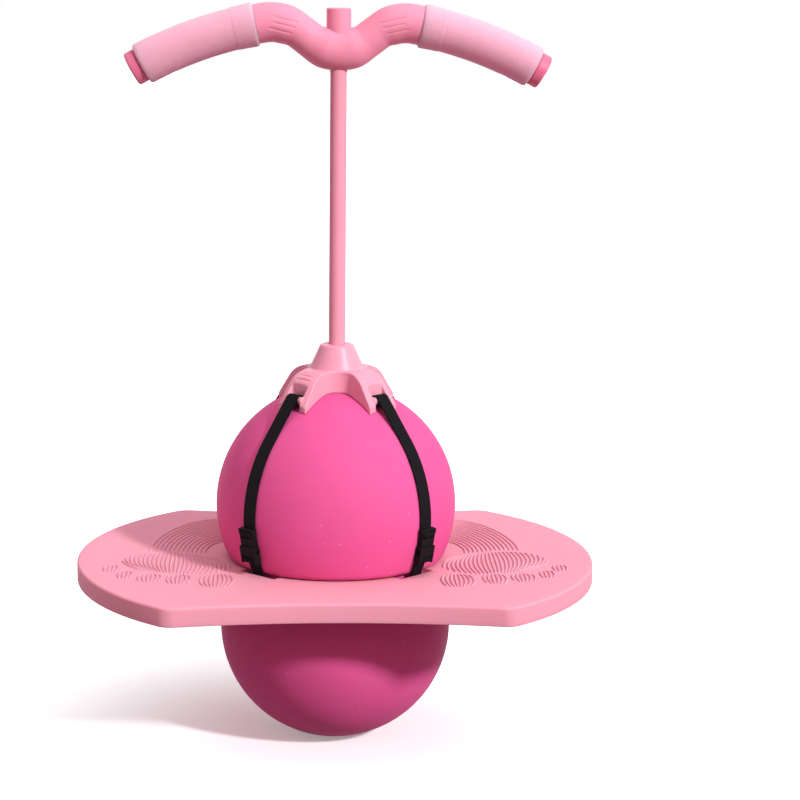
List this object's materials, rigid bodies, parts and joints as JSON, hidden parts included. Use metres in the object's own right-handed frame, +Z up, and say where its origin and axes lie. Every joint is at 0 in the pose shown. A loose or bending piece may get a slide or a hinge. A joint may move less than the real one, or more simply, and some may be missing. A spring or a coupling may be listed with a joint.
{
  "type": "hopper ball",
  "caption": "Bouncing ball squeezed through a footboard with foot treads, with a strapped saddle, a pole and a gull-wing handlebar with foam grips, for jumping on.",
  "frame": {"origin": "middle of the ball's flat contact patch on the ground", "axes": "+Z up the pole, -Y towards the front as pictured, +X towards the right end of the handlebar"},
  "size_m": [0.5058, 0.392, 0.717],
  "materials": {
    "ball_pvc": "smooth, slightly glossy",
    "deck_pp": "satin",
    "saddle_pp": "satin",
    "webbing": "woven",
    "buckle_acetal": "satin",
    "pin_steel": "zinc plated",
    "pole_steel": "gloss powder coat",
    "bar_pp": "satin gloss",
    "grip_foam": "matte foam",
    "cap_pvc": "satin"
  },
  "bodies": {
    "ball": {"ball_shell": "ball_pvc"},
    "deck": {"deck_board": "deck_pp", "left_foot_tread": "deck_pp", "right_foot_tread": "deck_pp", "valve_seat": "ball_pvc", "front_left_pin": "pin_steel", "front_right_pin": "pin_steel", "rear_left_pin": "pin_steel", "rear_right_pin": "pin_steel", "front_left_loop": "webbing", "front_right_loop": "webbing", "rear_left_loop": "webbing", "rear_right_loop": "webbing", "front_left_buckle": "buckle_acetal", "front_right_buckle": "buckle_acetal", "rear_left_buckle": "buckle_acetal", "rear_right_buckle": "buckle_acetal", "front_left_latch": "buckle_acetal", "front_right_latch": "buckle_acetal", "rear_left_latch": "buckle_acetal", "rear_right_latch": "buckle_acetal"},
    "handle": {"crown_saddle": "saddle_pp", "front_left_strap": "webbing", "front_right_strap": "webbing", "rear_left_strap": "webbing", "rear_right_strap": "webbing", "pole_tube": "pole_steel", "socket_screw": "pin_steel", "snap_spring": "pin_steel", "handlebar": "bar_pp", "left_grip": "grip_foam", "right_grip": "grip_foam", "left_end_cap": "cap_pvc", "right_end_cap": "cap_pvc"},
    "plug": {"valve_plug": "ball_pvc"},
    "button": {"snap_button": "pin_steel"}
  },
  "joints": [
    {"name": "bounce", "type": "slide", "parent": "ball", "child": "deck", "axis": [0, 0, -1], "range_m": [0, 0.04], "stiffness_N_per_m": 12000, "springref_m": -0.004, "deforming": ["ball_shell"]},
    {"name": "handle_lean", "type": "hinge", "parent": "deck", "child": "handle", "pos_m": [0, 0, 0.23204], "axis": [1, 0, 0], "range_deg": [-8, 8], "stiffness_Nm_per_rad": 60, "deforming": ["front_left_strap", "front_right_strap", "rear_left_strap", "rear_right_strap"]},
    {"name": "plug_pull", "type": "slide", "parent": "deck", "child": "plug", "axis": [0, 1, 0], "range_m": [0, 0.012]},
    {"name": "button_press", "type": "slide", "parent": "handle", "child": "button", "axis": [0, -1, 0], "range_m": [0, 0.005], "stiffness_N_per_m": 500, "springref_m": -0.004, "deforming": ["snap_spring"]}
  ]
}
